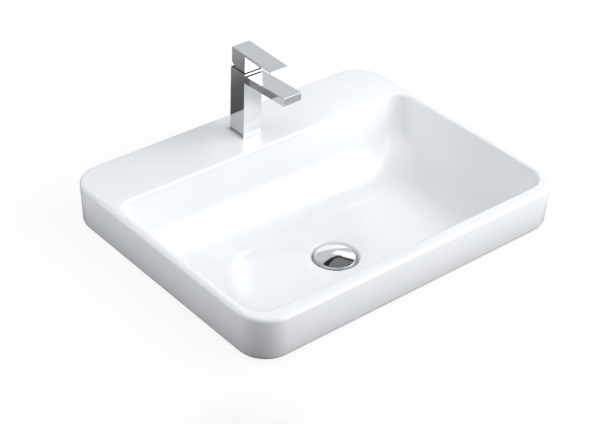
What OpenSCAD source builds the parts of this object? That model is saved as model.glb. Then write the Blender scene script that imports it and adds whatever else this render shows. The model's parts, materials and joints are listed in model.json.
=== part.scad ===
// Inset basin with a square single-lever mixer and a push-open waste.
// X runs along the wall, Y points to the wall and Z points up. The origin lies on the counter plane,
// in the middle of the back stretch of the basin's foot. All sizes are millimetres.

/* [Basin] */
// Width of the basin along the wall
basin_w = 600; // [560:5:700]
// Depth of the basin from its front face to its back face
basin_d = 470; // [450:5:540]
// Height of the rim over the counter
rim_h = 73; // [66:1:85]
// Plan radius of the four outer corners
corner_r = 50; // [44:1:60]
// Distance that the skirt leans in from the rim to the counter
skirt_draft = 3; // [0:0.5:5]
// Rounding of the rim's outer edge
rim_round = 6; // [4:0.5:7]
// Rounding of the skirt's bottom edge
foot_round = 8; // [5:0.5:9]
// Width of the rim at the sides
rim_side_w = 12.5; // [11:0.5:16]
// Width of the rim at the front
rim_front_w = 21.5; // [17:0.5:24]
// Rounding of the edge between the rim and the bowl
lip_round = 4; // [3:0.5:5]
// Depth of the flat tap deck behind the bowl
deck_d = 110; // [104:1:120]
// Thickness of the ceramic under the deck
deck_t = 14; // [11:0.5:17]
// Thickness of the skirt's back wall
back_wall_t = 23; // [20:0.5:26]
// Distance from the bowl's back edge to the hollow under the deck
hollow_setback = 12; // [10:0.5:16]
// Distance from each side of the basin to the hollow under the deck
hollow_side = 60; // [50:1:90]
// Radius of the upright corners of the hollow under the deck
hollow_r = 12; // [6:1:20]

/* [Bowl] */
// Depth from the rim to the foot of the bowl's walls
wall_depth = 109; // [100:1:118]
// Fall of the bowl's floor from the foot of the walls to the recess round the waste
floor_fall = 6; // [3:0.5:9]
// Lean of the side walls from upright, in degrees
side_lean = 13; // [8:0.5:16]
// Lean of the front wall from upright, in degrees
front_lean = 12; // [8:0.5:16]
// Lean of the back wall from upright, in degrees
back_lean = 18; // [10:0.5:22]
// Radius between the side walls and the floor
side_sweep = 70; // [50:1:78]
// Radius between the front wall and the floor
front_sweep = 60; // [45:1:66]
// Radius between the back wall and the floor
back_sweep = 85; // [60:1:92]
// Plan radius of the bowl's front corners at the rim
bowl_front_r = 38; // [30:1:46]
// Plan radius of the bowl's back corners at the rim
bowl_back_r = 26; // [20:1:34]
// Plan radius of the bowl's corners at the foot of the walls
bowl_foot_r = 75; // [55:1:80]
// Thickness of the bowl's ceramic, measured straight down
bowl_t = 12; // [10:0.5:15]

/* [Waste] */
// Distance from the basin's front face to the axis of the waste
waste_from_front = 185; // [170:1:200]
// Diameter of the hole in the ceramic
waste_hole_d = 46; // [44.5:0.5:48]
// Diameter of the dished recess round the hole
recess_d = 82; // [76:1:90]
// Depth of the recess below the floor
recess_depth = 9.5; // [8:0.5:11]
// Width of the recess's sloping side
recess_slope = 8; // [5:0.5:9]
// Diameter of the flat boss under the hole
boss_d = 76; // [70:1:84]
// Diameter of the flange of the waste
flange_d = 64; // [62:0.5:65]
// Thickness of the flange
flange_t = 2.5; // [2:0.1:3]
// Thickness of the seal under the flange
top_seal_t = 1; // [0.8:0.1:1.5]
// Outer diameter of the free outlet thread (standard G 1 1/4)
outlet_thread_d = 41.9; // [41.9:0.1:42]
// Length of the free outlet thread
outlet_thread_len = 36; // [28:1:44]
// Outer diameter of the tube under the back nut, drawn at the pitch diameter of its thread
waste_neck_d = 40.4; // [40.2:0.1:40.6]
// Inner diameter of the tube
waste_bore_d = 35; // [33:0.5:37]
// Inner diameter of the flange's mouth
waste_mouth_d = 38; // [36:0.5:40]
// Outer diameter of the washers under the basin
waste_washer_d = 60; // [56:0.5:64]
// Thickness of the rubber washer under the basin
under_washer_t = 5; // [4:0.5:6]
// Thickness of the slip washer
slip_washer_t = 1.5; // [1:0.1:2]
// Thickness of the back nut
back_nut_t = 9; // [7:0.5:11]
// Size of the back nut over its corners
back_nut_d = 62; // [58:0.5:66]
// Play between the tube and what sits on it
waste_play = 0.1; // [0.05:0.05:0.2]

/* [Plug] */
// Diameter of the cap
cap_d = 66; // [62:0.5:68]
// Height of the cap's edge
cap_edge_t = 3; // [2:0.1:4]
// Rise of the cap's dome over its edge
cap_dome = 2.2; // [1:0.1:3]
// Thickness of the seal under the cap
plug_seal_t = 1.5; // [1:0.1:2]
// Distance that the cap rises when it is open
plug_lift = 8; // [6:0.5:9]
// Diameter of the cap's stem
stem_d = 8; // [7:0.1:9]
// Diameter of the cap's boss that takes the stem
cap_boss_d = 15; // [13:0.5:18]
// Outer diameter of the mechanism's body
click_body_d = 16; // [15:0.2:17]
// Inner diameter of the mechanism's body
click_bore_d = 12.8; // [12.4:0.1:13]
// Distance from the flange's face to the top of the mechanism's body
click_depth = 14; // [12:0.5:17]
// Length of the mechanism's body
click_body_len = 37; // [36:0.5:40]
// Diameter of the spigot that screws into the cross of the waste
click_spigot_d = 8; // [7:0.1:9]
// Thickness of the cross inside the waste
cross_t = 5; // [4:0.5:6]
// Width of each arm of the cross
cross_arm_w = 3; // [2.5:0.1:4]
// Diameter of the cross's hub
cross_hub_d = 16; // [14:0.5:18]
// Thickness of the stem's collar
collar_t = 2.5; // [2:0.1:3]
// Height of the turning cam ring
cam_h = 3.5; // [3:0.1:4]
// Wire diameter of the click spring
spring_wire = 1.1; // [0.9:0.1:1.3]
// Turns of the click spring
spring_turns = 5; // [4:0.5:6]
// Play of the mechanism's sliding pieces
click_play = 0.08; // [0.05:0.01:0.1]

/* [Tap] */
// Distance from the basin's back face to the tap's axis
tap_setback = 56.5; // [54:0.5:60]
// Diameter of the tap hole
tap_hole_d = 35; // [34:0.5:36]
// Side of the square column and width of the spout
column_w = 35; // [34.5:0.1:38]
// Height of the column over the deck
column_h = 114.4; // [105:0.1:130]
// Side of the base plate
plate_w = 42; // [40.5:0.5:46]
// Thickness of the base plate
plate_t = 3; // [2.5:0.1:4]
// Reach of the spout from the tap's axis to its end face
spout_reach = 112.5; // [100:0.5:125]
// Thickness of the spout
spout_t = 13.5; // [13:0.1:15]
// Rise of the spout along its length, in degrees
spout_rise = 2; // [0:0.5:3]
// Depth of the spout's top under the column's top, on the axis
spout_drop = 2.4; // [1.5:0.1:4]
// Width of the waterway in the spout
waterway_w = 14; // [10:0.5:18]
// Height of the waterway in the spout
waterway_h = 5.5; // [4:0.1:6]
// Thickness of the spout's top over the waterway
waterway_top = 3; // [2:0.1:3.5]
// Size of the inlet threads (M10)
inlet_thread_d = 10; // [10:0.1:10.2]
// Depth of the inlet threads
inlet_thread_len = 15; // [12:0.5:18]
// Distance of each inlet thread from the middle plane
inlet_x = 6.5; // [6:0.1:7]
// Distance of the inlets in front of the tap's axis
inlet_y = 3.5; // [3:0.1:4]
// Diameter of the two risers in the column
riser_d = 4.4; // [4:0.1:5]
// Distance of each riser and of each cartridge port from the middle plane
port_x = 5.2; // [5:0.1:5.6]

/* [Handle] */
// Width of the handle
handle_w = 34.5; // [33:0.1:34.5]
// Gap between the column and the handle
handle_gap = 2.8; // [2.6:0.1:4]
// Height of the handle's block at its back
handle_h = 32.6; // [30:0.1:40]
// Distance from the tap's axis to the block's front face
handle_front = 17.2; // [16.5:0.1:17.4]
// Distance from the tap's axis to the block's back face
handle_back = 15.5; // [15:0.1:17]
// Distance from the axis at which the block's underside starts to rise
heel_start = 6.5; // [5.5:0.1:7]
// Rise of the block's underside at its back face
heel_rise = 7.3; // [6:0.1:9]
// Reach of the lever from the tap's axis to its tip
lever_reach = 79.5; // [70:0.5:95]
// Thickness of the lever where it leaves the block
lever_t = 3.4; // [3:0.1:5]
// Thickness of the lever at its tip
lever_tip_t = 1; // [0.8:0.1:2]
// Fall of the lever's top from the block's back to the tip
lever_fall = 3.5; // [2:0.1:5]
// Radius of the hollow under the handle
handle_hollow_r = 10.2; // [10:0.1:10.6]
// Depth of the hollow under the handle
handle_hollow_h = 6.3; // [6:0.1:8]
// Diameter of the handle screw (M5)
handle_screw_d = 5; // [4.8:0.1:5.2]
// Length of the handle screw
handle_screw_len = 6; // [5:0.5:8]
// Height of the handle screw over the block's underside
handle_screw_z = 12.8; // [12:0.1:14]
// Diameter of the plug over the screw
screw_plug_d = 7; // [6.5:0.1:8]
// Thickness of the plug over the screw
screw_plug_t = 3; // [2:0.1:3.5]

/* [Cartridge] */
// Diameter of the cartridge
cartridge_d = 25; // [24.8:0.1:25.2]
// Play round the cartridge
cartridge_play = 0.1; // [0.05:0.05:0.15]
// Depth of the cartridge's seat under the column's top
seat_depth = 27.4; // [27:0.1:29]
// Thickness of the rubber seals under the cartridge
cartridge_seal_t = 1; // [0.8:0.1:1.2]
// Height of the cartridge's foot
cartridge_base_h = 4; // [3.5:0.1:4.5]
// Thickness of the fixed disc
lower_disc_t = 4; // [3.5:0.1:4.5]
// Thickness of the sliding disc
upper_disc_t = 3.4; // [3:0.1:3.8]
// Gap that the sliding pieces keep
slide_gap = 0.1; // [0.05:0.01:0.15]
// Height of the disc driver
driver_h = 4.4; // [4:0.1:4.8]
// Radius of the sliding disc and of the driver
slider_r = 7.8; // [7.4:0.1:8]
// Distance of the sliding disc behind the axis when the tap is closed
slider_offset = 2.2; // [2:0.1:2.4]
// Wall of the cartridge's body
cartridge_wall = 1.5; // [1.3:0.1:1.6]
// Outer radius of the cartridge's neck
neck_r = 9.8; // [9.7:0.1:9.9]
// Height of the neck over the column's top
neck_rise = 0.9; // [0.6:0.1:1]
// Outer radius of the spindle carrier
carrier_r = 8.7; // [8.5:0.1:8.7]
// Height of the carrier over the column's top
carrier_rise = 4.6; // [4:0.1:4.8]
// Height of the spindle's pivot over the column's top
pivot_rise = 1.1; // [0.9:0.1:1.3]
// Side of the square spindle
spindle_w = 7; // [6.6:0.1:7.2]
// Height of the spindle over the column's top
spindle_rise = 20; // [19:0.5:22]
// Radius of the ball at the spindle's foot
ball_r = 2.5; // [2.3:0.1:2.6]
// Distance from the spindle's pivot to its ball
ball_arm = 13; // [12.5:0.1:13.2]
// Diameter of the spindle's pin
pin_d = 2.5; // [2:0.1:3]
// Length of the spindle's pin
pin_len = 15; // [14:0.5:16]
// Height of the ring nut
nut_h = 6; // [5:0.1:6.4]
// Outer radius of the ring nut (M28)
nut_r = 14; // [13.8:0.1:14.2]

/* [Outlet] */
// Outer radius of the aerator
aerator_r = 8; // [7.5:0.1:8.4]
// Height of the aerator
aerator_h = 6.8; // [6:0.1:7]
// Wall of the aerator's housing
aerator_wall = 1.4; // [1.2:0.1:1.6]
// Thickness of the aerator's washer
aerator_washer_t = 1; // [0.8:0.1:1.2]
// Distance from the spout's end face to the aerator's axis
aerator_inset = 13; // [12:0.5:16]
// Diameter of the holes in the aerator's insert
aerator_hole_d = 1.2; // [1:0.1:1.4]

/* [Fixing] */
// Diameter of the mounting stud (M8)
stud_d = 8; // [7.6:0.1:8]
// Distance of the stud behind the tap's axis
stud_y = 10.5; // [10:0.1:10.8]
// Length of the stud inside the column
stud_in = 14; // [12:0.5:16]
// Length of the stud under the basin's deck
stud_out = 24; // [20:0.5:34]
// Thickness of the rubber horseshoe
gasket_t = 2.5; // [2:0.1:3]
// Thickness of the metal horseshoe
horseshoe_t = 2; // [1.6:0.1:3]
// Outer radius of both horseshoes
horseshoe_r = 25; // [23:0.5:27]
// Width of the slot in both horseshoes
horseshoe_slot = 28; // [26:0.5:30]
// Size of the mounting nut over its corners
mounting_nut_d = 15; // [13:0.1:15.4]
// Height of the mounting nut
mounting_nut_h = 10; // [6.5:0.1:14]
// Thickness of the seal under the base plate
base_seal_t = 1.5; // [1:0.1:1.8]

/* [Hidden] */
$fn = 96;
eps = 0.5;
tiny = 0.000001;

// Levels and lines of the basin
half_w = basin_w / 2;
back_y = (back_wall_t + skirt_draft + foot_round) / 2;
front_y = back_y - basin_d;
tap_y = back_y - tap_setback;
waste_y = front_y + waste_from_front;
bowl_half_w = half_w - rim_side_w;
bowl_front_y = front_y + rim_front_w;
bowl_back_y = back_y - deck_d;
wall_foot_z = rim_h - wall_depth;
floor_z = wall_foot_z - floor_fall;
recess_z = floor_z - recess_depth;
boss_z = recess_z - bowl_t;
shell_grow = 0.7 * bowl_t;
deck_under_z = rim_h - deck_t;

// Levels of the waste
flange_z = recess_z + top_seal_t;
flange_top_z = flange_z + flange_t;
under_washer_z = boss_z - under_washer_t;
slip_washer_z = under_washer_z - slip_washer_t;
back_nut_z = slip_washer_z - back_nut_t;
outlet_top_z = back_nut_z - eps;
outlet_z = outlet_top_z - outlet_thread_len;
neck_play_r = waste_neck_d / 2 + waste_play;
washer_inner_r = outlet_thread_d / 2 + waste_play;

// Levels of the plug and its mechanism
plug_seal_gap = 0.1;
cap_under_z = flange_top_z + plug_seal_gap + plug_seal_t;
cap_boss_h = 5;
stem_top_z = cap_under_z + cap_edge_t / 2;
plug_seal_r = waste_mouth_d / 2 + 1;
plug_seal_w = 4;
click_top_z = flange_top_z - click_depth;
click_foot_z = click_top_z - click_body_len;
click_lip_t = 2.2;
click_floor_t = 2.5;
click_spigot_out = 2;
lift_spare = 0.3;
cam_gap = 0.1;
spring_gap = 0.25;
stem_pin_r = stem_d / 2 - 1.5;
stem_pin_out = 2;
collar_top_z = click_top_z - click_lip_t - plug_lift - lift_spare;
collar_z = collar_top_z - collar_t;
cam_z = collar_z - cam_h - cam_gap;
spring_foot_z = click_foot_z + click_floor_t;

// Levels of the tap
column_foot_z = rim_h + plate_t;
column_top_z = rim_h + column_h;
seat_z = column_top_z - seat_depth;
base_foot_z = seat_z + cartridge_seal_t;
lower_disc_z = base_foot_z + cartridge_base_h;
upper_disc_z = lower_disc_z + lower_disc_t + slide_gap;
driver_z = upper_disc_z + upper_disc_t;
driver_top_z = driver_z + driver_h;
carrier_flange_z = driver_top_z + 0.3;
carrier_flange_t = 1.5;
shoulder_z = carrier_flange_z + carrier_flange_t + 0.2;
shoulder_t = 2;
nut_z = shoulder_z + shoulder_t;
seal_groove_z = shoulder_z + 0.3;
seal_groove_h = 1.2;
chamber_top_z = shoulder_z - 1;
window_z = base_foot_z + 1;
window_h = 2.2;
passage_w = waterway_w - 2;
passage_h = 3.3;
passage_z = chamber_top_z - passage_h - 0.2;
pivot_z = column_top_z + pivot_rise;
handle_z = column_top_z + handle_gap;

// Radii and distances in the tap
bore_r = cartridge_d / 2 + cartridge_play;
chamber_r = cartridge_d / 2 + 1.3;
housing_inner_r = cartridge_d / 2 - cartridge_wall;
seal_groove_r = cartridge_d / 2 - 0.9;
carrier_flange_r = housing_inner_r - 0.4;
carrier_play = 0.06;
slot_x = spindle_w / 2 + 0.2;
slot_y = carrier_r - 1.2;
spindle_neck_r = ball_r - 0.5;
ball_play = 0.1;
ball_floor_gap = 0.3;
pin_play = 0.05;
nut_play = 0.2;
socket_spare = 0.5;
screw_hex_d = handle_screw_d / 2;
outlet_port_y = 3;
outlet_port_r = 2.4;
inlet_port_r = 2;
port_seal_w = 1.2;
pocket_r = slider_r - 3.2;
passage_out = 4.5;
waterway_back = 1.6;
plenum_r = 5;
plenum_top = waterway_top + 0.6;
aerator_y = aerator_inset - spout_reach;
aerator_play = 0.1;
aerator_lip_h = 1.2;
aerator_mouth_r = aerator_r - aerator_wall - 0.8;
plate_hole_r = tap_hole_d / 2 - 2;
plate_recess_r = plate_w / 2 - 1.2;
stud_play = 0.2;
slot_end_y = stud_y - stud_d / 2 - 2.5;

// Rings of points round the bowl, on rays from the axis of the waste.
// A ring is a rounded rectangle: [half width, front y, back y, front corner radius, back corner radius, z].
function reach(c, s, q) =
    let (end = s > 0 ? q[2] - waste_y : waste_y - q[1])
    let (r = s > 0 ? q[4] : q[3])
    let (t = min(abs(c) < tiny ? 1 / tiny : q[0] / abs(c), abs(s) < tiny ? 1 / tiny : end / abs(s)))
    let (kx = q[0] - r, ky = end - r)
    let (b = kx * abs(c) + ky * abs(s))
    t * abs(c) > kx && t * abs(s) > ky ? b + sqrt(max(b * b - kx * kx - ky * ky + r * r, 0)) : t;

function ring(q) =
    [for (a = dirs) let (t = reach(cos(a), sin(a), q)) [t * cos(a), waste_y + t * sin(a), q[5]]];

// Directions of the rays: dense at the corners of the rim and of the bowl
function corner_dirs(cx, cy, r, n) =
    [for (i = [0 : n]) let (a = (cy > waste_y ? 0 : -90) + 90 * i / n)
        atan2(cy + r * sin(a) - waste_y, cx + r * cos(a))];
function between(a, b, n) = [for (i = [1 : n]) a + (b - a) * i / (n + 1)];
front_dirs = corner_dirs(half_w - corner_r, front_y + corner_r, corner_r, 6);
bowl_dirs = corner_dirs(bowl_half_w - bowl_back_r, bowl_back_y - bowl_back_r, bowl_back_r, 4);
back_dirs = corner_dirs(half_w - corner_r, back_y - corner_r, corner_r, 6);
half_dirs = concat([-90], between(-90, front_dirs[0], 4), front_dirs,
    between(front_dirs[6], bowl_dirs[0], 5), bowl_dirs, back_dirs, between(back_dirs[6], 90, 4), [90]);
dirs = concat(half_dirs, [for (i = [len(half_dirs) - 2 : -1 : 1]) 180 - half_dirs[i]]);

// Ring of the skirt and of the rim's outer edge, set in from the outer face
function outer_ring(inset, z) =
    [half_w - inset, front_y + inset, back_y - inset, corner_r - inset, corner_r - inset, z];
function skirt_inset(z) = skirt_draft * (1 - z / rim_h);

// Distance that a wall of the bowl stands in from the rim at a level
function wall_inset(z, lean, sweep) =
    let (centre_z = wall_foot_z + sweep)
    let (foot = (rim_h - centre_z) * tan(lean) + sweep / cos(lean))
    z > centre_z - sweep * sin(lean) ? (rim_h - z) * tan(lean)
        : foot - sqrt(max(sweep * sweep - pow(centre_z - z, 2), 0));

// Ring of the bowl's inside at a level
function bowl_ring(z, grow = 0, drop = 0) =
    let (side = wall_inset(z, side_lean, side_sweep))
    let (k = side / wall_inset(wall_foot_z, side_lean, side_sweep))
    [bowl_half_w - side + grow,
        bowl_front_y + wall_inset(z, front_lean, front_sweep) - grow,
        bowl_back_y - wall_inset(z, back_lean, back_sweep) + grow,
        bowl_front_r + (bowl_foot_r - bowl_front_r) * k + grow,
        bowl_back_r + (bowl_foot_r - bowl_back_r) * k + grow,
        z - drop];

// Ring of the rounded lip between the rim and the bowl
function lip_ring(a) =
    let (b = bowl_ring(rim_h - lip_round), k = 1 - sin(a))
    let (top = [bowl_half_w + lip_round, bowl_front_y - lip_round, bowl_back_y + lip_round,
        bowl_front_r + lip_round, bowl_back_r + lip_round, 0])
    [for (i = [0 : 5]) i == 5 ? rim_h - lip_round * (1 - cos(a)) : b[i] + (top[i] - b[i]) * k];

function circle_ring(r, z) = [r, waste_y - r, waste_y + r, r, r, z];
function blend_ring(p, q, k) = [for (i = [0 : 5]) p[i] + (q[i] - p[i]) * k];

// Sections of the ceramic, from the mouth of the waste hole over the bowl and the rim to the boss below
hole_cut_r = 18;
sweep_top = 90 - back_lean;
foot_ring = bowl_ring(wall_foot_z);
recess_ring = circle_ring(recess_d / 2, floor_z);
shell_foot = bowl_ring(wall_foot_z, shell_grow, bowl_t);
shell_recess = circle_ring(boss_d / 2 + 8, floor_z - bowl_t);
shell_angles = [for (a = [0, 12, 22, 32, 42, 52, 62])
    if (wall_foot_z + back_sweep * (1 - cos(a)) < bowl_t - 3) a];
sections = concat(
    [circle_ring(hole_cut_r, recess_z)],
    [for (k = [1, 0.75, 0.5, 0.25, 0])
        circle_ring(recess_d / 2 - recess_slope * k, floor_z - recess_depth * (1 - cos(180 * k)) / 2)],
    [for (k = [0.66, 0.33]) blend_ring(foot_ring, recess_ring, k)],
    [for (a = [0, 9, 18, 28, 38, 50, 61, sweep_top]) bowl_ring(wall_foot_z + back_sweep * (1 - cos(a)))],
    [bowl_ring((rim_h + wall_foot_z + back_sweep * (1 - cos(sweep_top))) / 2)],
    [for (a = [90, 55, 25, 0]) lip_ring(a)],
    [for (a = [0, 30, 60, 90]) outer_ring(rim_round * (1 - sin(a)), rim_h - rim_round * (1 - cos(a)))],
    [for (a = [90, 60, 30, 0]) let (s = skirt_inset(foot_round))
        outer_ring(s + (skirt_draft + foot_round - s) * (1 - sin(a)), foot_round * (1 - cos(a)))],
    [bowl_ring(bowl_t, shell_grow, bowl_t)],
    [for (i = [len(shell_angles) - 1 : -1 : 0])
        bowl_ring(wall_foot_z + back_sweep * (1 - cos(shell_angles[i])), shell_grow, bowl_t)],
    [for (k = [0.5, 1]) blend_ring(shell_foot, shell_recess, k)],
    [circle_ring(boss_d / 2, boss_z), circle_ring(hole_cut_r, boss_z)]);

function loop_faces(m, n) =
    [for (i = [0 : m - 1]) for (j = [0 : n - 1])
        let (a = i * n + j, b = i * n + (j + 1) % n)
        let (c = ((i + 1) % m) * n + (j + 1) % n, d = ((i + 1) % m) * n + j)
        for (f = [[a, b, c], [a, c, d]]) f];

module upright_block(x0, x1, y0, y1, z0, z1, r) {
    for (x = [x0 + r, x1 - r]) {
        for (y = [y0 + r, y1 - r]) {
            translate([x, y, z0]) cylinder(r = r, h = z1 - z0);
        }
    }
    translate([x0 + r, y0, z0]) cube([x1 - x0 - 2 * r, y1 - y0, z1 - z0]);
    translate([x0, y0 + r, z0]) cube([x1 - x0, y1 - y0 - 2 * r, z1 - z0]);
}

module basin() {
    color([0.95, 0.96, 0.97])
    difference() {
        polyhedron([for (q = sections) each ring(q)], loop_faces(len(sections), len(dirs)), convexity = 8);
        translate([0, waste_y, boss_z - eps]) cylinder(d = waste_hole_d, h = bowl_t + 2 * eps);
        translate([0, tap_y, deck_under_z - eps]) cylinder(d = tap_hole_d, h = deck_t + 2 * eps);
        upright_block(-half_w + hollow_side, half_w - hollow_side, bowl_back_y + hollow_setback,
            back_y - back_wall_t, -eps, deck_under_z, hollow_r);
    }
}

module tube(outer_r, inner_r, z0, z1) {
    difference() {
        translate([0, 0, z0]) cylinder(r = outer_r, h = z1 - z0);
        translate([0, 0, z0 - eps]) cylinder(r = inner_r, h = z1 - z0 + 2 * eps);
    }
}

module rod(r, z0, z1) {
    translate([0, 0, z0]) cylinder(r = r, h = z1 - z0);
}

module on_tap() {
    translate([0, tap_y, 0]) children();
}

module on_waste() {
    translate([0, waste_y, 0]) children();
}

// Point [y, z] at a distance along the spout from the tap's axis and a height over the spout's top plane
function spout_point(along, up) =
    [tap_y - along * cos(spout_rise) + up * sin(spout_rise),
    column_top_z - spout_drop + along * sin(spout_rise) + up * cos(spout_rise)];

// Places a piece in the spout's own frame: its top plane at zero, its length along -Y
module in_spout() {
    translate([0, tap_y, column_top_z - spout_drop]) rotate([-spout_rise, 0, 0]) children();
}

module tap_body() {
    half = column_w / 2;
    top_joint = half / cos(spout_rise);
    under_joint = (half - spout_t * sin(spout_rise)) / cos(spout_rise);
    outline = [[tap_y + half, column_foot_z], [tap_y + half, column_top_z], [tap_y - half, column_top_z],
        spout_point(top_joint, 0), spout_point(spout_reach, 0), spout_point(spout_reach, -spout_t),
        spout_point(under_joint, -spout_t), [tap_y - half, column_foot_z]];
    color([0.78, 0.79, 0.80])
    difference() {
        translate([-half, 0, 0]) rotate([90, 0, 90]) linear_extrude(column_w) polygon(outline);
        on_tap() {
            rod(bore_r, seat_z, column_top_z + eps);
            rod(chamber_r, window_z, chamber_top_z);
            rod(nut_r, nut_z, column_top_z + eps);
            for (x = [-inlet_x, inlet_x]) {
                translate([x, -inlet_y, 0])
                    rod(inlet_thread_d / 2, column_foot_z - eps, column_foot_z + inlet_thread_len);
            }
            for (x = [-port_x, port_x]) {
                translate([x, -inlet_y, 0]) rod(riser_d / 2, column_foot_z + 1, seat_z + eps);
            }
            translate([0, stud_y, 0]) rod(stud_d / 2, column_foot_z - eps, column_foot_z + stud_in);
        }
        translate([-passage_w / 2, tap_y - half - passage_out, passage_z])
            cube([passage_w, half + passage_out - cartridge_d / 2, passage_h]);
        in_spout() {
            translate([-waterway_w / 2, aerator_y, -waterway_top - waterway_h])
                cube([waterway_w, -aerator_y - nut_r - waterway_back, waterway_h]);
            translate([0, aerator_y, -spout_t - eps])
                cylinder(r = aerator_r + aerator_play, h = aerator_h + aerator_washer_t + eps);
            translate([0, aerator_y, -spout_t]) cylinder(r = plenum_r, h = spout_t - plenum_top);
        }
    }
}

module tap_base_plate() {
    color([0.78, 0.79, 0.80])
    difference() {
        translate([-plate_w / 2, tap_y - plate_w / 2, rim_h]) cube([plate_w, plate_w, plate_t]);
        on_tap() rod(plate_hole_r, rim_h - eps, column_foot_z + eps);
        on_tap() rod(plate_recess_r, rim_h - eps, rim_h + base_seal_t);
    }
}

module base_seal() {
    color([0.12, 0.12, 0.12])
    on_tap() tube(plate_recess_r, tap_hole_d / 2, rim_h, rim_h + base_seal_t);
}

module lever_handle() {
    tip_h = handle_h - lever_fall;
    front_h = handle_h - lever_fall * (handle_back + handle_front) / (handle_back + lever_reach);
    outline = [[-handle_front, 0], [heel_start, 0], [handle_back, heel_rise], [handle_back, handle_h],
        [-lever_reach, tip_h], [-lever_reach, tip_h - lever_tip_t], [-handle_front, front_h - lever_t]];
    color([0.80, 0.81, 0.82])
    translate([0, tap_y, handle_z])
    difference() {
        translate([-handle_w / 2, 0, 0]) rotate([90, 0, 90]) linear_extrude(handle_w) polygon(outline);
        translate([0, 0, -eps]) cylinder(r = handle_hollow_r, h = handle_hollow_h + eps);
        translate([-spindle_w / 2, -spindle_w / 2, 0])
            cube([spindle_w, spindle_w, spindle_rise - handle_gap + socket_spare]);
        translate([0, handle_back + eps, handle_screw_z]) rotate([90, 0, 0])
            cylinder(d = handle_screw_d, h = handle_back + eps);
        translate([0, handle_back + eps, handle_screw_z]) rotate([90, 0, 0])
            cylinder(d = screw_plug_d, h = screw_plug_t + eps);
    }
}

module handle_screw() {
    color([0.45, 0.45, 0.46])
    translate([0, tap_y + spindle_w / 2 + handle_screw_len, handle_z + handle_screw_z]) rotate([90, 0, 0])
    difference() {
        cylinder(d = handle_screw_d, h = handle_screw_len);
        translate([0, 0, -eps]) cylinder(d = screw_hex_d, h = handle_screw_len / 2 + eps, $fn = 6);
    }
}

module screw_plug() {
    color([0.80, 0.81, 0.82])
    translate([0, tap_y + handle_back, handle_z + handle_screw_z]) rotate([90, 0, 0])
        cylinder(d = screw_plug_d, h = screw_plug_t);
}

module cartridge_housing() {
    neck_top_z = column_top_z + neck_rise;
    color([0.10, 0.10, 0.11])
    on_tap() difference() {
        union() {
            rod(cartridge_d / 2, lower_disc_z, nut_z);
            rod(neck_r, nut_z, neck_top_z);
        }
        rod(housing_inner_r, lower_disc_z - eps, shoulder_z);
        rod(carrier_r + carrier_play, shoulder_z - eps, neck_top_z + eps);
        tube(cartridge_d, seal_groove_r, seal_groove_z, seal_groove_z + seal_groove_h);
    }
}

module cartridge_base() {
    color([0.20, 0.20, 0.21])
    on_tap() difference() {
        rod(cartridge_d / 2, base_foot_z, lower_disc_z);
        for (x = [-port_x, port_x]) {
            translate([x, -inlet_y, 0]) rod(inlet_port_r, base_foot_z - eps, lower_disc_z + eps);
        }
        translate([0, outlet_port_y, 0]) rod(outlet_port_r, window_z, lower_disc_z + eps);
        translate([-outlet_port_r, outlet_port_y, window_z]) cube([2 * outlet_port_r, cartridge_d, window_h]);
    }
}

module cartridge_seals() {
    color([0.08, 0.08, 0.08]) on_tap() {
        for (x = [-port_x, port_x]) {
            translate([x, -inlet_y, 0])
                tube(riser_d / 2 + port_seal_w, riser_d / 2, seat_z, base_foot_z);
        }
        tube(bore_r, seal_groove_r, seal_groove_z, seal_groove_z + seal_groove_h);
    }
}

module lower_disc() {
    top_z = lower_disc_z + lower_disc_t;
    color([0.92, 0.90, 0.86])
    on_tap() difference() {
        rod(housing_inner_r - cartridge_play, lower_disc_z, top_z);
        for (x = [-port_x, port_x]) {
            translate([x, -inlet_y, 0]) rod(inlet_port_r, lower_disc_z - eps, top_z + eps);
        }
        translate([0, outlet_port_y, 0]) rod(outlet_port_r, lower_disc_z - eps, top_z + eps);
    }
}

module upper_disc() {
    color([0.95, 0.94, 0.91])
    on_tap() translate([0, slider_offset, 0]) difference() {
        rod(slider_r, upper_disc_z, driver_z);
        rod(pocket_r, upper_disc_z - eps, upper_disc_z + upper_disc_t / 2);
    }
}

module disc_driver() {
    color([0.85, 0.85, 0.82])
    on_tap() difference() {
        translate([0, slider_offset, 0]) rod(slider_r, driver_z, driver_top_z);
        rod(ball_r + ball_play, pivot_z - ball_arm - ball_r - ball_floor_gap, driver_top_z + eps);
    }
}

module spindle_carrier() {
    color([0.88, 0.88, 0.85])
    on_tap() difference() {
        union() {
            rod(carrier_flange_r, carrier_flange_z, carrier_flange_z + carrier_flange_t);
            rod(carrier_r, carrier_flange_z, column_top_z + carrier_rise);
        }
        translate([-slot_x, -slot_y, carrier_flange_z - eps])
            cube([2 * slot_x, 2 * slot_y, column_top_z + carrier_rise - carrier_flange_z + 2 * eps]);
        translate([-pin_len / 2, 0, pivot_z]) rotate([0, 90, 0]) cylinder(d = pin_d, h = pin_len);
    }
}

module spindle_pin() {
    color([0.55, 0.56, 0.58])
    translate([-pin_len / 2, tap_y, pivot_z]) rotate([0, 90, 0]) cylinder(d = pin_d, h = pin_len);
}

module lever_spindle() {
    square_foot_z = pivot_z - pin_d;
    color([0.72, 0.60, 0.30])
    on_tap() difference() {
        union() {
            translate([-spindle_w / 2, -spindle_w / 2, square_foot_z])
                cube([spindle_w, spindle_w, column_top_z + spindle_rise - square_foot_z]);
            rod(spindle_neck_r, pivot_z - ball_arm, square_foot_z + tiny);
            translate([0, 0, pivot_z - ball_arm]) sphere(r = ball_r);
        }
        translate([-pin_len / 2, 0, pivot_z]) rotate([0, 90, 0])
            cylinder(r = pin_d / 2 + pin_play, h = pin_len);
    }
}

module cartridge_nut() {
    color([0.75, 0.62, 0.30]) on_tap() tube(nut_r, neck_r + nut_play, nut_z, nut_z + nut_h);
}

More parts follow.
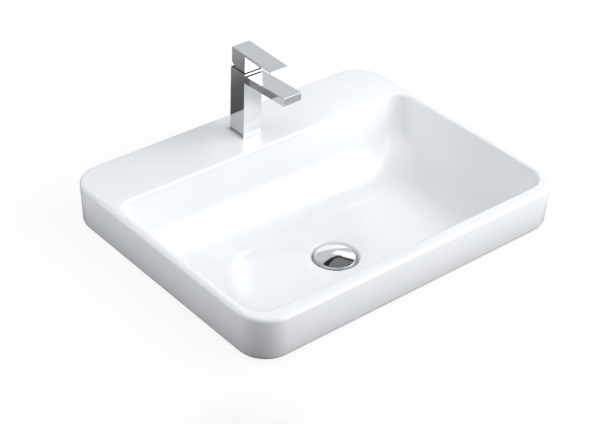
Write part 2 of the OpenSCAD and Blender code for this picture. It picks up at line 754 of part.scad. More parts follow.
module aerator_housing() {
    color([0.75, 0.76, 0.77])
    in_spout() translate([0, aerator_y, -spout_t]) difference() {
        cylinder(r = aerator_r, h = aerator_h);
        translate([0, 0, aerator_lip_h]) cylinder(r = aerator_r - aerator_wall, h = aerator_h);
        translate([0, 0, -eps]) cylinder(r = aerator_mouth_r, h = aerator_h);
    }
}

module aerator_insert() {
    pitch = 2 * aerator_hole_d;
    color([0.30, 0.31, 0.32])
    in_spout() translate([0, aerator_y, aerator_lip_h - spout_t]) difference() {
        cylinder(r = aerator_r - aerator_wall, h = aerator_h - aerator_lip_h);
        for (i = [-2 : 2]) {
            for (j = [-2 : 2]) {
                if (i * i + j * j < 5) {
                    translate([i * pitch, j * pitch, -eps])
                        cylinder(d = aerator_hole_d, h = aerator_h + 2 * eps);
                }
            }
        }
    }
}

module aerator_washer() {
    color([0.10, 0.10, 0.10])
    in_spout() translate([0, aerator_y, -spout_t + aerator_h]) difference() {
        cylinder(r = aerator_r, h = aerator_washer_t);
        translate([0, 0, -eps]) cylinder(r = aerator_mouth_r, h = aerator_washer_t + 2 * eps);
    }
}

module mounting_stud() {
    color([0.75, 0.62, 0.30])
    on_tap() translate([0, stud_y, 0]) rod(stud_d / 2, deck_under_z - stud_out, column_foot_z + stud_in);
}

// Flat plate under the deck, open at the front so that the hoses pass
module horseshoe(z0, z1) {
    on_tap() difference() {
        rod(horseshoe_r, z0, z1);
        translate([-horseshoe_slot / 2, slot_end_y - 2 * horseshoe_r, z0 - eps])
            cube([horseshoe_slot, 2 * horseshoe_r, z1 - z0 + 2 * eps]);
        translate([0, stud_y, 0]) rod(stud_d / 2 + stud_play, z0 - eps, z1 + eps);
    }
}

module horseshoe_gasket() {
    color([0.10, 0.10, 0.10]) horseshoe(deck_under_z - gasket_t, deck_under_z);
}

module horseshoe_washer() {
    color([0.70, 0.71, 0.72]) horseshoe(deck_under_z - gasket_t - horseshoe_t, deck_under_z - gasket_t);
}

module mounting_nut() {
    top_z = deck_under_z - gasket_t - horseshoe_t;
    color([0.75, 0.62, 0.30])
    on_tap() translate([0, stud_y, 0]) difference() {
        translate([0, 0, top_z - mounting_nut_h]) cylinder(d = mounting_nut_d, h = mounting_nut_h, $fn = 6);
        rod(stud_d / 2, top_z - mounting_nut_h - eps, top_z + eps);
    }
}

module waste_body() {
    color([0.78, 0.79, 0.80])
    on_waste() {
        difference() {
            union() {
                rod(flange_d / 2, flange_z, flange_top_z);
                rod(waste_neck_d / 2, outlet_top_z - eps, flange_z + tiny);
                rod(outlet_thread_d / 2, outlet_z, outlet_top_z);
            }
            rod(waste_bore_d / 2, outlet_z - eps, flange_top_z + eps);
            translate([0, 0, flange_z])
                cylinder(r1 = waste_bore_d / 2, r2 = waste_mouth_d / 2, h = flange_t + tiny);
        }
        difference() {
            union() {
                rod(cross_hub_d / 2, click_foot_z - cross_t, click_foot_z);
                for (a = [90, 210, 330]) {
                    rotate([0, 0, a]) translate([0, -cross_arm_w / 2, click_foot_z - cross_t])
                        cube([waste_bore_d / 2 + eps, cross_arm_w, cross_t]);
                }
            }
            rod(click_spigot_d / 2, click_foot_z - cross_t - eps, click_foot_z + eps);
        }
    }
}

module waste_top_seal() {
    color([0.12, 0.12, 0.12])
    on_waste() tube(flange_d / 2 - top_seal_t, waste_hole_d / 2, recess_z, flange_z);
}

module waste_under_washer() {
    color([0.12, 0.12, 0.12])
    on_waste() tube(waste_washer_d / 2, washer_inner_r, under_washer_z, boss_z);
}

module waste_slip_washer() {
    color([0.85, 0.85, 0.83])
    on_waste() tube(waste_washer_d / 2, washer_inner_r, slip_washer_z, under_washer_z);
}

module waste_back_nut() {
    color([0.75, 0.62, 0.30])
    on_waste() difference() {
        translate([0, 0, back_nut_z]) cylinder(d = back_nut_d, h = back_nut_t, $fn = 6);
        rod(neck_play_r, back_nut_z - eps, slip_washer_z + eps);
    }
}

module plug_cap() {
    r = cap_d / 2;
    dome_r = (r * r + cap_dome * cap_dome) / (2 * cap_dome);
    top_z = cap_under_z + cap_edge_t + cap_dome;
    dome = [for (i = [0 : 8]) let (x = r * i / 8) [x, top_z - dome_r + sqrt(dome_r * dome_r - x * x)]];
    color([0.82, 0.83, 0.84])
    on_waste() difference() {
        union() {
            rotate_extrude() polygon(concat(dome, [[r, cap_under_z], [0, cap_under_z]]));
            rod(cap_boss_d / 2, cap_under_z - cap_boss_h, cap_under_z + tiny);
        }
        rod(stem_d / 2, cap_under_z - cap_boss_h - eps, stem_top_z);
    }
}

module plug_seal() {
    color([0.12, 0.12, 0.12])
    on_waste() tube(plug_seal_r + plug_seal_w, plug_seal_r, flange_top_z + plug_seal_gap, cap_under_z);
}

module plug_stem() {
    color([0.75, 0.62, 0.30]) on_waste() {
        rod(stem_d / 2, collar_z, stem_top_z);
        rod(click_bore_d / 2 - click_play, collar_z, collar_top_z);
        rod(stem_pin_r, cam_z - stem_pin_out, collar_z + tiny);
    }
}

module click_housing() {
    color([0.15, 0.15, 0.16])
    on_waste() difference() {
        union() {
            rod(click_body_d / 2, click_foot_z, click_top_z);
            rod(click_spigot_d / 2, click_foot_z - cross_t - click_spigot_out, click_foot_z + tiny);
        }
        rod(click_bore_d / 2, spring_foot_z, click_top_z - click_lip_t);
        rod(stem_d / 2 + click_play, click_top_z - click_lip_t - eps, click_top_z + eps);
    }
}

module click_cam() {
    color([0.85, 0.85, 0.82])
    on_waste() tube(click_bore_d / 2 - click_play, stem_pin_r + click_play, cam_z, collar_z - cam_gap);
}

// Coil spring, one tube swept along a helix
module click_spring() {
    sides = 6;
    steps = round(spring_turns * 14);
    coil_r = click_bore_d / 2 - spring_wire / 2 - spring_gap;
    foot = spring_foot_z + spring_wire / 2;
    rise = cam_z - spring_wire / 2 - cam_gap / 2 - foot;
    points = [for (i = [0 : steps]) for (k = [0 : sides - 1])
        let (a = 360 * spring_turns * i / steps, b = 360 * k / sides)
        let (r = coil_r + spring_wire / 2 * cos(b))
        [r * cos(a), r * sin(a), foot + rise * i / steps + spring_wire / 2 * sin(b)]];
    walls = [for (i = [0 : steps - 1]) for (k = [0 : sides - 1])
        let (a = i * sides + k, b = i * sides + (k + 1) % sides)
        for (f = [[a, b, b + sides], [a, b + sides, a + sides]]) f];
    caps = concat([for (k = [1 : sides - 2]) [0, k + 1, k]],
        [for (k = [1 : sides - 2]) [steps * sides, steps * sides + k, steps * sides + k + 1]]);
    color([0.60, 0.61, 0.62]) on_waste() polyhedron(points, concat(walls, caps), convexity = 10);
}

basin();
tap_body();
tap_base_plate();
base_seal();
lever_handle();
handle_screw();
screw_plug();
cartridge_housing();
cartridge_base();
cartridge_seals();
lower_disc();
upper_disc();
disc_driver();
spindle_carrier();
spindle_pin();
lever_spindle();
cartridge_nut();
aerator_housing();
aerator_insert();
aerator_washer();
mounting_stud();
horseshoe_gasket();
horseshoe_washer();
mounting_nut();
waste_body();
waste_top_seal();
waste_under_washer();
waste_slip_washer();
waste_back_nut();
plug_cap();
plug_seal();
plug_stem();
click_housing();
click_cam();
click_spring();
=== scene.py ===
"""Looks of an inset basin: white glaze, a square chrome mixer and a push-open waste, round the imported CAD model."""
import json
import math
import bmesh
import bpy
from mathutils import Matrix, Vector


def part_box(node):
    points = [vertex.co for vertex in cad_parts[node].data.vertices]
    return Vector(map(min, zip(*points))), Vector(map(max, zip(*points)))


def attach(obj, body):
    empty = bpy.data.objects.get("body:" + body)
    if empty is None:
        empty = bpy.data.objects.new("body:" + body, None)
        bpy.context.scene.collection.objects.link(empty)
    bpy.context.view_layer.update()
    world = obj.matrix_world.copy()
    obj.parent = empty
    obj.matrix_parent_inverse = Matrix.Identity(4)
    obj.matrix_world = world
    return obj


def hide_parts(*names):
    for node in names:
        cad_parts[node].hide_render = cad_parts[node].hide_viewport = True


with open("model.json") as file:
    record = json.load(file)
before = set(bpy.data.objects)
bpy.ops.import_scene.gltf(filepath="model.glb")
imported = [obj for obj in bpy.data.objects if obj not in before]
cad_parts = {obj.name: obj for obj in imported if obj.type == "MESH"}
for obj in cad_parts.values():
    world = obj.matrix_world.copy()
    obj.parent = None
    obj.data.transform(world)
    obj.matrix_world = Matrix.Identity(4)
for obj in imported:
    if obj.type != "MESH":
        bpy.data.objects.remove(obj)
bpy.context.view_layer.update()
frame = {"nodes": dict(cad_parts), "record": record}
# how far a cutting tool reaches past the face that it cuts
PAST = 0.01


def span(node, axis):
    """Lowest and highest coordinate of a CAD node along one axis."""
    low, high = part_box(node)
    return low[axis], high[axis]


# ---------------------------------------------------------------- camera

CAMERA_PLACE = (-1.33739, -1.70139, 1.36958)
CAMERA_YAW = 41.33
CAMERA_PITCH = 34.23
CAMERA_ROLL = -2.57
FOCAL_PIXELS = 1558.0
IMAGE_WIDTH = 600
SENSOR = 36.0
SIGHT = 60


def add_camera():
    yaw, pitch, roll = (math.radians(a) for a in (CAMERA_YAW, CAMERA_PITCH, CAMERA_ROLL))
    ahead = Vector((math.sin(yaw) * math.cos(pitch), math.cos(yaw) * math.cos(pitch), -math.sin(pitch)))
    level = Vector((math.cos(yaw), -math.sin(yaw), 0))
    down = ahead.cross(level)
    right = level * math.cos(roll) + down * math.sin(roll)
    down = down * math.cos(roll) - level * math.sin(roll)
    data = bpy.data.cameras.new("camera")
    data.sensor_fit = "HORIZONTAL"
    data.sensor_width = SENSOR
    data.lens = SENSOR * FOCAL_PIXELS / IMAGE_WIDTH
    data.clip_end = SIGHT
    cam = bpy.data.objects.new("camera", data)
    cam.matrix_world = Matrix.Translation(CAMERA_PLACE) @ Matrix((right, -down, -ahead)).transposed().to_4x4()
    bpy.context.scene.collection.objects.link(cam)
    bpy.context.scene.camera = cam


add_camera()

# ---------------------------------------------------------------- meshes


def link(obj):
    bpy.context.scene.collection.objects.link(obj)
    return obj


def mesh_object(name, verts, faces):
    mesh = bpy.data.meshes.new(name)
    mesh.from_pydata([tuple(v) for v in verts], [], faces)
    mesh.validate()
    return link(bpy.data.objects.new(name, mesh))


def smooth(obj, degrees=32):
    """Smooth shading with a hard line where faces meet at more than the given angle."""
    for p in obj.data.polygons:
        p.use_smooth = True
    obj.data.set_sharp_from_angle(angle=math.radians(degrees))
    return obj


def keep_flat(obj):
    """Shading that follows the large faces, so that flat sides stay flat beside rounded edges."""
    m = obj.modifiers.new("flat_faces", "WEIGHTED_NORMAL")
    m.mode = "FACE_AREA"
    m.weight = 60
    m.keep_sharp = True
    return obj


def bake_modifiers(obj):
    graph = bpy.context.evaluated_depsgraph_get()
    mesh = bpy.data.meshes.new_from_object(obj.evaluated_get(graph))
    mesh.name = obj.name
    obj.modifiers.clear()
    obj.data = mesh
    return obj


def bevelled(obj, width, segments=3, degrees=30):
    m = obj.modifiers.new("edge", "BEVEL")
    m.width = width
    m.segments = segments
    m.limit_method = "ANGLE"
    m.angle_limit = math.radians(degrees)
    m.use_clamp_overlap = True
    return bake_modifiers(obj)


def cut(obj, tools):
    """Takes the tool solids out of obj and deletes them."""
    for tool in tools:
        m = obj.modifiers.new("cut", "BOOLEAN")
        m.operation = "DIFFERENCE"
        m.solver = "EXACT"
        m.object = tool
    bake_modifiers(obj)
    for tool in tools:
        bpy.data.objects.remove(tool)
    return obj


def loft(name, rings, closed=False):
    """Skin over rings with the same number of points. Closed joins the last ring to the first; open is capped."""
    n = len(rings[0])
    verts = [p for r in rings for p in r]
    faces = []
    for i in range(len(rings) if closed else len(rings) - 1):
        a, b = i * n, ((i + 1) % len(rings)) * n
        faces += [(a + j, a + (j + 1) % n, b + (j + 1) % n, b + j) for j in range(n)]
    if not closed:
        faces.append(tuple(range(n))[::-1])
        faces.append(tuple(range((len(rings) - 1) * n, len(rings) * n)))
    obj = mesh_object(name, verts, faces)
    face_out(obj)
    return obj


def face_out(obj):
    mesh = bmesh.new()
    mesh.from_mesh(obj.data)
    bmesh.ops.recalc_face_normals(mesh, faces=mesh.faces)
    mesh.to_mesh(obj.data)
    mesh.free()
    return obj


def circle(r, z, centre=(0, 0), n=96):
    return [(centre[0] + r * math.cos(math.tau * i / n), centre[1] + r * math.sin(math.tau * i / n), z)
            for i in range(n)]


def turned(name, profile, centre=(0, 0), n=96, closed=False):
    """Turned piece from (radius, z) points. A closed profile is a ring; an open one is capped."""
    return loft(name, [circle(r, z, centre, n) for r, z in profile], closed)


def prism(name, outline, x0, x1):
    """Solid with a side outline of (y, z) points, from x0 to x1."""
    n = len(outline)
    verts = [(x0, y, z) for y, z in outline] + [(x1, y, z) for y, z in outline]
    faces = [tuple(range(n)), tuple(range(2 * n - 1, n - 1, -1))]
    faces += [(i, i + n, (i + 1) % n + n, (i + 1) % n) for i in range(n)]
    return face_out(mesh_object(name, verts, faces))


def bore(r, z0, z1, centre=(0, 0), n=64):
    """Cylinder that cuts a hole."""
    return turned("bore", [(r, z0), (r, z1)], centre, n)


def block(name, low, high):
    return prism(name, [(low[1], low[2]), (high[1], low[2]), (high[1], high[2]), (low[1], high[2])], low[0], high[0])


def join(name, parts):
    """One object out of several."""
    mesh = bmesh.new()
    for part in parts:
        part.data.transform(part.matrix_world)
        mesh.from_mesh(part.data)
        bpy.data.objects.remove(part)
    data = bpy.data.meshes.new(name)
    mesh.to_mesh(data)
    mesh.free()
    return link(bpy.data.objects.new(name, data))


def ease(a, b, n, start=True):
    """n + 1 even steps from a to b, without the first where start is false."""
    return [a + (b - a) * i / n for i in range(0 if start else 1, n + 1)]


def rounded(x0, x1, y0, y1, r, n=8):
    """Points (x, y) round a rectangle with rounded corners."""
    spots = []
    for cx, cy, start in ((x1 - r, y1 - r, 0), (x0 + r, y1 - r, 90), (x0 + r, y0 + r, 180), (x1 - r, y0 + r, 270)):
        for a in ease(start, start + 90, n):
            spots.append((cx + r * math.cos(math.radians(a)), cy + r * math.sin(math.radians(a))))
    return spots


# ---------------------------------------------------------------- materials

# nearly all of a noise lies between these values
NOISE_LOW, NOISE_HIGH = 0.3, 0.7
WHITE = (1, 1, 1, 1)


class Tree:
    """Small helper that builds a node tree."""

    def __init__(self, tree):
        self.tree = tree

    def add(self, kind, **settings):
        node = self.tree.nodes.new(kind)
        for key, value in settings.items():
            setattr(node, key, value)
        return node

    def join(self, a, b):
        self.tree.links.new(a, b)

    def feed(self, value, socket):
        """Joins a socket to another one, or writes a plain value into it."""
        if isinstance(value, bpy.types.NodeSocket):
            self.join(value, socket)
        else:
            socket.default_value = value

    def sum(self, operation, *values):
        node = self.add("ShaderNodeMath", operation=operation)
        for value, socket in zip(values, node.inputs):
            self.feed(value, socket)
        return node.outputs[0]

    def parts(self, vector):
        """The sockets X, Y and Z of a vector."""
        node = self.add("ShaderNodeSeparateXYZ")
        self.join(vector, node.inputs["Vector"])
        return node.outputs

    def change(self, source, start, end, low, high):
        """Goes from low to high while the source goes from start to end."""
        node = self.add("ShaderNodeMapRange")
        for key, value in (("From Min", start), ("From Max", end), ("To Min", low), ("To Max", high)):
            node.inputs[key].default_value = value
        self.join(source, node.inputs["Value"])
        return node.outputs["Result"]

    def mix(self, share, first, second):
        """Colour that goes from the first to the second with the share."""
        node = self.add("ShaderNodeMix", data_type="RGBA")
        self.join(share, node.inputs["Factor"])
        self.feed(first, node.inputs["A"])
        self.feed(second, node.inputs["B"])
        return node.outputs["Result"]

    def seen(self):
        """1 for what the camera sees, also through glass, and 0 for all other light."""
        path = self.add("ShaderNodeLightPath")
        return self.sum("MAXIMUM", path.outputs["Is Camera Ray"], path.outputs["Is Transmission Ray"])

    def show(self, share, first, second, output):
        """Gives the output a surface that goes from the first shader to the second with the share."""
        node = self.add("ShaderNodeMixShader")
        self.join(share, node.inputs["Fac"])
        self.join(first, node.inputs[1])
        self.join(second, node.inputs[2])
        self.join(node.outputs["Shader"], self.tree.nodes[output].inputs["Surface"])


class Nodes(Tree):
    """Node tree of a new material."""

    def __init__(self, name):
        self.mat = bpy.data.materials.new(name)
        self.mat.use_nodes = True
        super().__init__(self.mat.node_tree)
        self.shader = self.tree.nodes["Principled BSDF"]
        self.place = self.add("ShaderNodeTexCoord").outputs["Object"]

    def noise(self, scale, detail=2.0, rough=0.5, stretch=(1, 1, 1)):
        spread = self.add("ShaderNodeMapping")
        spread.inputs["Scale"].default_value = stretch
        self.join(self.place, spread.inputs["Vector"])
        node = self.add("ShaderNodeTexNoise")
        node.inputs["Scale"].default_value = scale
        node.inputs["Detail"].default_value = detail
        node.inputs["Roughness"].default_value = rough
        self.join(spread.outputs["Vector"], node.inputs["Vector"])
        return node.outputs["Fac"]

    def ramp(self, source, low, high, start=NOISE_LOW, end=NOISE_HIGH):
        """Turns a 0 to 1 value into a colour between low and high."""
        node = self.add("ShaderNodeValToRGB")
        node.color_ramp.elements[0].position = start
        node.color_ramp.elements[0].color = (*low, 1)
        node.color_ramp.elements[1].position = end
        node.color_ramp.elements[1].color = (*high, 1)
        self.join(source, node.inputs["Fac"])
        return node.outputs["Color"]

    def bump(self, layers):
        """Stacks (height source, depth in metres) layers into the shader's normal."""
        normal = None
        for source, depth in layers:
            node = self.add("ShaderNodeBump")
            node.inputs["Strength"].default_value = 1.0
            node.inputs["Distance"].default_value = depth
            self.join(source, node.inputs["Height"])
            if normal:
                self.join(normal, node.inputs["Normal"])
            normal = node.outputs["Normal"]
        self.join(normal, self.shader.inputs["Normal"])

    def set(self, **values):
        for key, value in values.items():
            self.shader.inputs[key.replace("_", " ")].default_value = value


def make_finish(name, tone, dark, light, rough, smoothest, roughest, bumps, **values):
    """Material whose colour, roughness and bumps follow noises; tone, rough and bumps hold the noises' settings."""
    n = Nodes(name)
    n.join(n.ramp(n.noise(*tone), dark, light), n.shader.inputs["Base Color"])
    uneven = n.change(n.noise(*rough), NOISE_LOW, NOISE_HIGH, smoothest, roughest)
    n.join(uneven, n.shader.inputs["Roughness"])
    n.set(**values)
    n.bump([(n.noise(*settings), depth) for settings, depth in bumps])
    return n.mat


def plastic(name, dark, light):
    return make_finish(name, (200, 3), dark, light, (800, 3), 0.32, 0.48, [((1800, 2), 0.00001)])


def steel(name):
    """Drawn steel, with its marks across Y."""
    return make_finish(name, (150, 4), (0.42, 0.42, 0.43), (0.58, 0.58, 0.59), (900, 3, 0.6, (1, 8, 1)), 0.25, 0.42,
                       [((900, 2, 0.5, (1, 8, 1)), 0.00001)], Metallic=1.0)


# painted shade: near-black, unpolished faces inside the gap under the handle, and on the nut seen in that gap, so that
# the gap reads dark as shade
PAINTED_GAP_SHADE = make_finish("painted_gap_shade_metal", (300, 4), (0.012, 0.012, 0.013), (0.028, 0.028, 0.030), (900, 3), 0.50, 0.70,
                   [((1500, 2), 0.00001)], Specular_IOR_Level=0.25)
MATERIALS = {
    # thick white sanitary glaze: a clear gloss over a faintly uneven cast body
    "glaze": make_finish("glaze", (9, 3), (0.800, 0.812, 0.832), (0.822, 0.830, 0.846), (60, 4), 0.16, 0.23,
                         [((7, 1), 0.0006), ((160, 2), 0.000012)],
                         IOR=1.5, Coat_Weight=0.5, Coat_Roughness=0.10, Coat_IOR=1.5),
    # polished plate: mirror bright, with faint wipe marks and a slight ripple
    "chrome": make_finish("chrome", (25, 3), (0.70, 0.705, 0.715), (0.74, 0.745, 0.755),
                          (220, 5, 0.6, (1, 1, 0.25)), 0.025, 0.07, [((28, 1), 0.00006)], Metallic=1.0),
    "rubber": make_finish("rubber", (300, 4), (0.018, 0.018, 0.019), (0.04, 0.04, 0.042), (500, 3), 0.55, 0.75,
                          [((1500, 2), 0.00002)], Specular_IOR_Level=0.35),
    # turned brass, with its marks round Z
    "brass": make_finish("brass", (120, 4), (0.56, 0.40, 0.17), (0.70, 0.53, 0.25), (900, 3, 0.6, (1, 1, 6)),
                         0.22, 0.42, [((700, 2, 0.5, (1, 1, 8)), 0.00002)], Metallic=1.0),
    "cartridge_plastic": plastic("cartridge_plastic", (0.020, 0.020, 0.022), (0.035, 0.035, 0.038)),
    "pale_plastic": plastic("pale_plastic", (0.70, 0.70, 0.66), (0.78, 0.78, 0.74)),
    "disc_ceramic": make_finish("disc_ceramic", (400, 4), (0.74, 0.70, 0.62), (0.84, 0.80, 0.72), (600, 3),
                                0.15, 0.28, [((2500, 2), 0.000005)]),
    "steel": steel("steel"),
    "spring_steel": steel("spring_steel"),
}
for part in frame["record"]["subparts"]:
    # painted shade: the cartridge nut, seen in the gap under the handle, takes the near-black gap finish instead of
    # its own
    finish = PAINTED_GAP_SHADE if part["node"] == "cartridge_nut" else MATERIALS[part["material_slot"]]
    slots = frame["nodes"][part["node"]].data.materials
    if len(slots):
        slots[0] = finish
    else:
        slots.append(finish)


def place(obj, body, slot, *nodes):
    """Gives a piece its finish and its body, and hides the CAD nodes that it stands for."""
    obj.data.materials.clear()
    obj.data.materials.append(MATERIALS[slot])
    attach(obj, body)
    if nodes:
        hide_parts(*nodes)
    return obj


def paint_gap_shade_on_faces(obj, side, level, upright_share=0.9, slack=0.0001):
    """Gives the flat faces at a height the painted gap shade; side is 1 for faces that look up and -1 for down."""
    obj.data.materials.append(PAINTED_GAP_SHADE)
    for face in obj.data.polygons:
        if face.normal.z * side > upright_share and abs(face.center.z - level) < slack:
            face.material_index = 1
    return obj


# ---------------------------------------------------------------- basin

HALF_W = span("basin", 0)[1]
FRONT_Y, BACK_Y = span("basin", 1)
BOSS_Z, RIM_Z = span("basin", 2)
WASTE_Y = sum(span("plug_cap", 1)) / 2
TAP_Y = sum(span("tap_base_plate", 1)) / 2
CORNER_R = 0.050
SKIRT_DRAFT = 0.003
RIM_ROUND = 0.006
FOOT_ROUND = 0.008
RIM_SIDE_W = 0.0125
RIM_FRONT_W = 0.0215
LIP_ROUND = 0.004
DECK_D = 0.110
DECK_T = 0.014
BACK_WALL_T = 0.023
HOLLOW_SETBACK = 0.012
HOLLOW_SIDE = 0.060
HOLLOW_R = 0.012
WALL_DEPTH = 0.109
FLOOR_FALL = 0.006
WALL_FOOT_Z = RIM_Z - WALL_DEPTH
FLOOR_Z = WALL_FOOT_Z - FLOOR_FALL
BOWL_T = 0.012
RECESS_Z = BOSS_Z + BOWL_T
RECESS_R = 0.041
RECESS_SLOPE = 0.008
HOLE_R = 0.023
HOLE_CHAMFER = 0.0008
BOSS_R = 0.038
BOSS_FLARE = 0.008
TAP_HOLE_R = 0.0175
# lean of the bowl's walls in degrees, and radius of the sweep at their foot
LEANS = {"side": (13, 0.070), "front": (12, 0.060), "back": (18, 0.085)}
BOWL_FRONT_R = 0.038
BOWL_BACK_R = 0.026
BOWL_FOOT_R = 0.075
SHELL_GROW = 0.7 * BOWL_T
# the bowl's underside starts this far below the foot of the skirt's inner edge
SHELL_START = 0.002
# how far a direction may be from an axis before it never meets the side along that axis
PARALLEL, NEVER = 1e-9, 1e9


def reach(c, s, q):
    """Distance from the waste's axis to a rounded rectangle along the direction (c, s)."""
    half_w, front, back, front_r, back_r, _ = q
    end, r = (back - WASTE_Y, back_r) if s > 0 else (WASTE_Y - front, front_r)
    c, s = abs(c), abs(s)
    t = min(half_w / c if c > PARALLEL else NEVER, end / s if s > PARALLEL else NEVER)
    kx, ky = half_w - r, end - r
    if t * c > kx and t * s > ky:
        b = kx * c + ky * s
        return b + math.sqrt(max(b * b - kx * kx - ky * ky + r * r, 0))
    return t


def corner_angles(cx, cy, r, n):
    """Directions from the waste to points on a rounded corner of the right half."""
    start = 0 if cy > WASTE_Y else -90
    return [math.atan2(cy + r * math.sin(a) - WASTE_Y, cx + r * math.cos(a))
            for a in map(math.radians, ease(start, start + 90, n))]


def between(a, b, n):
    """n even steps between a and b, without both."""
    return ease(a, b, n + 1)[1:-1]


def ray_angles():
    """Directions round the bowl, dense at its corners and at the basin's."""
    front = corner_angles(HALF_W - CORNER_R, FRONT_Y + CORNER_R, CORNER_R, 18)
    bowl = corner_angles(HALF_W - RIM_SIDE_W - BOWL_BACK_R, BACK_Y - DECK_D - BOWL_BACK_R, BOWL_BACK_R, 12)
    back = corner_angles(HALF_W - CORNER_R, BACK_Y - CORNER_R, CORNER_R, 16)
    half = [-math.pi / 2, *between(-math.pi / 2, front[0], 12), *front, *between(front[-1], bowl[0], 14),
            *bowl, *back, *between(back[-1], math.pi / 2, 12), math.pi / 2]
    return half + [math.pi - a for a in half[-2:0:-1]]


ANGLES = ray_angles()


# A ring q of the ceramic is a rounded rectangle: half width, front, back, front radius, back radius, height


def ray_ring(q):
    spots = []
    for a in ANGLES:
        c, s = math.cos(a), math.sin(a)
        t = reach(c, s, q)
        spots.append((t * c, WASTE_Y + t * s, q[5]))
    return spots


def wall_inset(z, side):
    """How far a wall of the bowl lies inside its upper edge at a height."""
    lean, sweep = LEANS[side]
    lean = math.radians(lean)
    centre_z = WALL_FOOT_Z + sweep
    if z > centre_z - sweep * math.sin(lean):
        return (RIM_Z - z) * math.tan(lean)
    foot = (RIM_Z - centre_z) * math.tan(lean) + sweep / math.cos(lean)
    return foot - math.sqrt(max(sweep ** 2 - (centre_z - z) ** 2, 0))


def bowl_ring(z, grow=0.0, drop=0.0):
    """Ring of the bowl's inside, or of its underside where it grows and drops."""
    side = wall_inset(z, "side")
    k = side / wall_inset(WALL_FOOT_Z, "side")
    return [HALF_W - RIM_SIDE_W - side + grow, FRONT_Y + RIM_FRONT_W + wall_inset(z, "front") - grow,
            BACK_Y - DECK_D - wall_inset(z, "back") + grow, BOWL_FRONT_R + (BOWL_FOOT_R - BOWL_FRONT_R) * k + grow,
            BOWL_BACK_R + (BOWL_FOOT_R - BOWL_BACK_R) * k + grow, z - drop]


def outer_ring(inset, z):
    """Ring of the skirt's outside."""
    r = CORNER_R - inset
    return [HALF_W - inset, FRONT_Y + inset, BACK_Y - inset, r, r, z]


def circle_ring(r, z):
    return [r, WASTE_Y - r, WASTE_Y + r, r, r, z]


def blend_ring(p, q, k):
    return [a + (b - a) * k for a, b in zip(p, q)]


def lip_ring(a):
    """Ring of the rounded lip: a is pi/2 on the bowl's wall and 0 on the rim."""
    wall = bowl_ring(RIM_Z - LIP_ROUND)
    top = [HALF_W - RIM_SIDE_W + LIP_ROUND, FRONT_Y + RIM_FRONT_W - LIP_ROUND, BACK_Y - DECK_D + LIP_ROUND,
           BOWL_FRONT_R + LIP_ROUND, BOWL_BACK_R + LIP_ROUND, 0]
    q = blend_ring(wall, top, 1 - math.sin(a))
    q[5] = RIM_Z - LIP_ROUND * (1 - math.cos(a))
    return q


def basin_sections():
    """Sections of the ceramic, from the hole's top edge over bowl and rim to the boss below."""
    steep = math.pi / 2 - math.radians(LEANS["back"][0])
    sweep = LEANS["back"][1]
    levels = [WALL_FOOT_Z + sweep * (1 - math.cos(a)) for a in ease(0, steep, 26)]
    foot, recess = bowl_ring(WALL_FOOT_Z), circle_ring(RECESS_R, FLOOR_Z)
    out = [circle_ring(HOLE_R, RECESS_Z - HOLE_CHAMFER), circle_ring(HOLE_R + HOLE_CHAMFER, RECESS_Z)]
    for k in ease(1, 0, 14):
        drop = (FLOOR_Z - RECESS_Z) * (1 - math.cos(math.pi * k)) / 2
        out.append(circle_ring(RECESS_R - RECESS_SLOPE * k, FLOOR_Z - drop))
    out += [blend_ring(recess, foot, k) for k in ease(0, 1, 8)[1:-1]]
    out += [bowl_ring(z) for z in levels]
    out += [bowl_ring(z) for z in ease(levels[-1], RIM_Z - LIP_ROUND, 5, False)[:-1]]
    out += [lip_ring(a) for a in ease(math.pi / 2, 0, 8)]
    out += [outer_ring(RIM_ROUND * (1 - math.sin(a)), RIM_Z - RIM_ROUND * (1 - math.cos(a)))
            for a in ease(0, math.pi / 2, 8)]
    skirt = SKIRT_DRAFT * (1 - FOOT_ROUND / RIM_Z)
    rest = SKIRT_DRAFT + FOOT_ROUND - skirt
    out += [outer_ring(skirt + rest * (1 - math.sin(a)), FOOT_ROUND * (1 - math.cos(a)))
            for a in ease(math.pi / 2, 0, 8)]
    out.append(bowl_ring(BOWL_T, SHELL_GROW, BOWL_T))
    out += [bowl_ring(z, SHELL_GROW, BOWL_T) for z in reversed(levels) if z < BOWL_T - SHELL_START]
    shell = circle_ring(BOSS_R + BOSS_FLARE, FLOOR_Z - BOWL_T)
    out += [blend_ring(bowl_ring(WALL_FOOT_Z, SHELL_GROW, BOWL_T), shell, k) for k in ease(0, 1, 4, False)]
    out += [circle_ring(BOSS_R, BOSS_Z), circle_ring(HOLE_R, BOSS_Z)]
    return out


def make_basin():
    basin = loft("basin_ceramic", [ray_ring(q) for q in basin_sections()], closed=True)
    under = RIM_Z - DECK_T
    outline = rounded(-HALF_W + HOLLOW_SIDE, HALF_W - HOLLOW_SIDE, BACK_Y - DECK_D + HOLLOW_SETBACK,
                      BACK_Y - BACK_WALL_T, HOLLOW_R)
    hollow = loft("hollow", [[(x, y, z) for x, y in outline] for z in (-PAST, under)])
    cut(basin, [hollow, bore(TAP_HOLE_R, under - PAST, RIM_Z + PAST, (0, TAP_Y))])
    smooth(basin, 34)
    return place(basin, "basin_fixed", "glaze", "basin")


# ---------------------------------------------------------------- tap

COLUMN_W = 0.035
# the column ends this far above the nut that holds the cartridge
COLUMN_OVER_NUT = 0.0005
COLUMN_H = span("cartridge_nut", 2)[1] + COLUMN_OVER_NUT - span("tap_body", 2)[0]
SPOUT_REACH = 0.1125
SPOUT_T = 0.0135
SPOUT_RISE = math.radians(2)
SPOUT_DROP = 0.0024
EDGE = 0.0006
AERATOR_INSET = 0.013
AERATOR_R = 0.0081
AERATOR_DEPTH = 0.0078
NECK_BORE_R = 0.0141
NECK_BORE_DEPTH = 0.02
